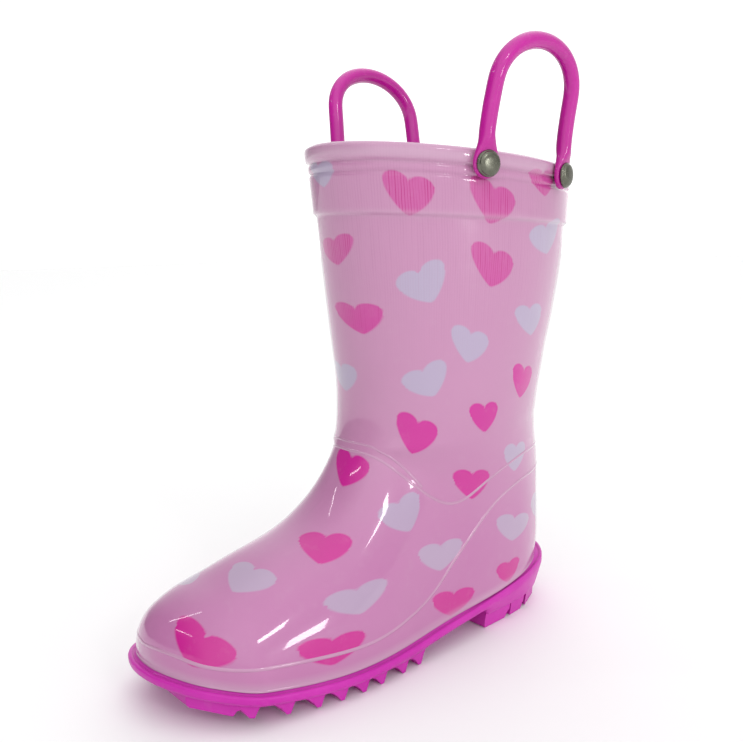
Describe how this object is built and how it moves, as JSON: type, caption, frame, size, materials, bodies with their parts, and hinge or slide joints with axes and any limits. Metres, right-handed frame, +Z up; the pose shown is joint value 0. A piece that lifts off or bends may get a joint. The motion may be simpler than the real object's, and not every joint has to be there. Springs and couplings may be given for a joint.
{
  "type": "rain boot",
  "caption": "Child's left pull-on rain boot: clear glossy shell over a heart-print knit sock, lugged magenta outsole with a low heel, and riveted pull handles that flex at the cuff.",
  "frame": {"origin": "centre of the whole boot's bounding box, on the ground plane that the sole stands on", "axes": "+Z up, -Y towards the toe, +Y towards the heel, +X towards the outer (lateral) side of a left foot"},
  "size_m": [0.1029, 0.1988, 0.234],
  "materials": {
    "clear_pvc": "glossy translucent moulded PVC",
    "printed_knit": "matt rib knit printed with hearts",
    "magenta_pvc": "satin moulded PVC",
    "handle_pvc": "glossy flexible PVC",
    "nickel": "polished nickel plate",
    "fibreboard": "matt fibreboard",
    "foam": "matt closed-cell foam",
    "footbed_cloth": "matt woven cloth"
  },
  "bodies": {
    "boot": {"upper_shell": "clear_pvc", "sock_lining": "printed_knit", "outsole": "magenta_pvc", "insole_board": "fibreboard", "footbed_foam": "foam", "footbed_cloth": "footbed_cloth", "lateral_handle_front_tab": "handle_pvc", "lateral_handle_rear_tab": "handle_pvc", "medial_handle_front_tab": "handle_pvc", "medial_handle_rear_tab": "handle_pvc", "lateral_front_rivet_cap": "nickel", "lateral_front_rivet_post": "nickel", "lateral_front_rivet_washer": "nickel", "lateral_rear_rivet_cap": "nickel", "lateral_rear_rivet_post": "nickel", "lateral_rear_rivet_washer": "nickel", "medial_front_rivet_cap": "nickel", "medial_front_rivet_post": "nickel", "medial_front_rivet_washer": "nickel", "medial_rear_rivet_cap": "nickel", "medial_rear_rivet_post": "nickel", "medial_rear_rivet_washer": "nickel"},
    "lateral_handle": {"lateral_handle_loop": "handle_pvc"},
    "medial_handle": {"medial_handle_loop": "handle_pvc"}
  },
  "joints": [
    {"name": "lateral_handle_flex", "type": "hinge", "parent": "boot", "child": "lateral_handle", "pos_m": [0.04343, 0.01867, 0.19758], "axis": [-0.0138, 0.9976, -0.0683], "range_deg": [-60, 85], "stiffness_Nm_per_rad": 0.05},
    {"name": "medial_handle_flex", "type": "hinge", "parent": "boot", "child": "medial_handle", "pos_m": [-0.04343, 0.01867, 0.19758], "axis": [-0.0138, -0.9976, 0.0683], "range_deg": [-60, 85], "stiffness_Nm_per_rad": 0.05}
  ]
}
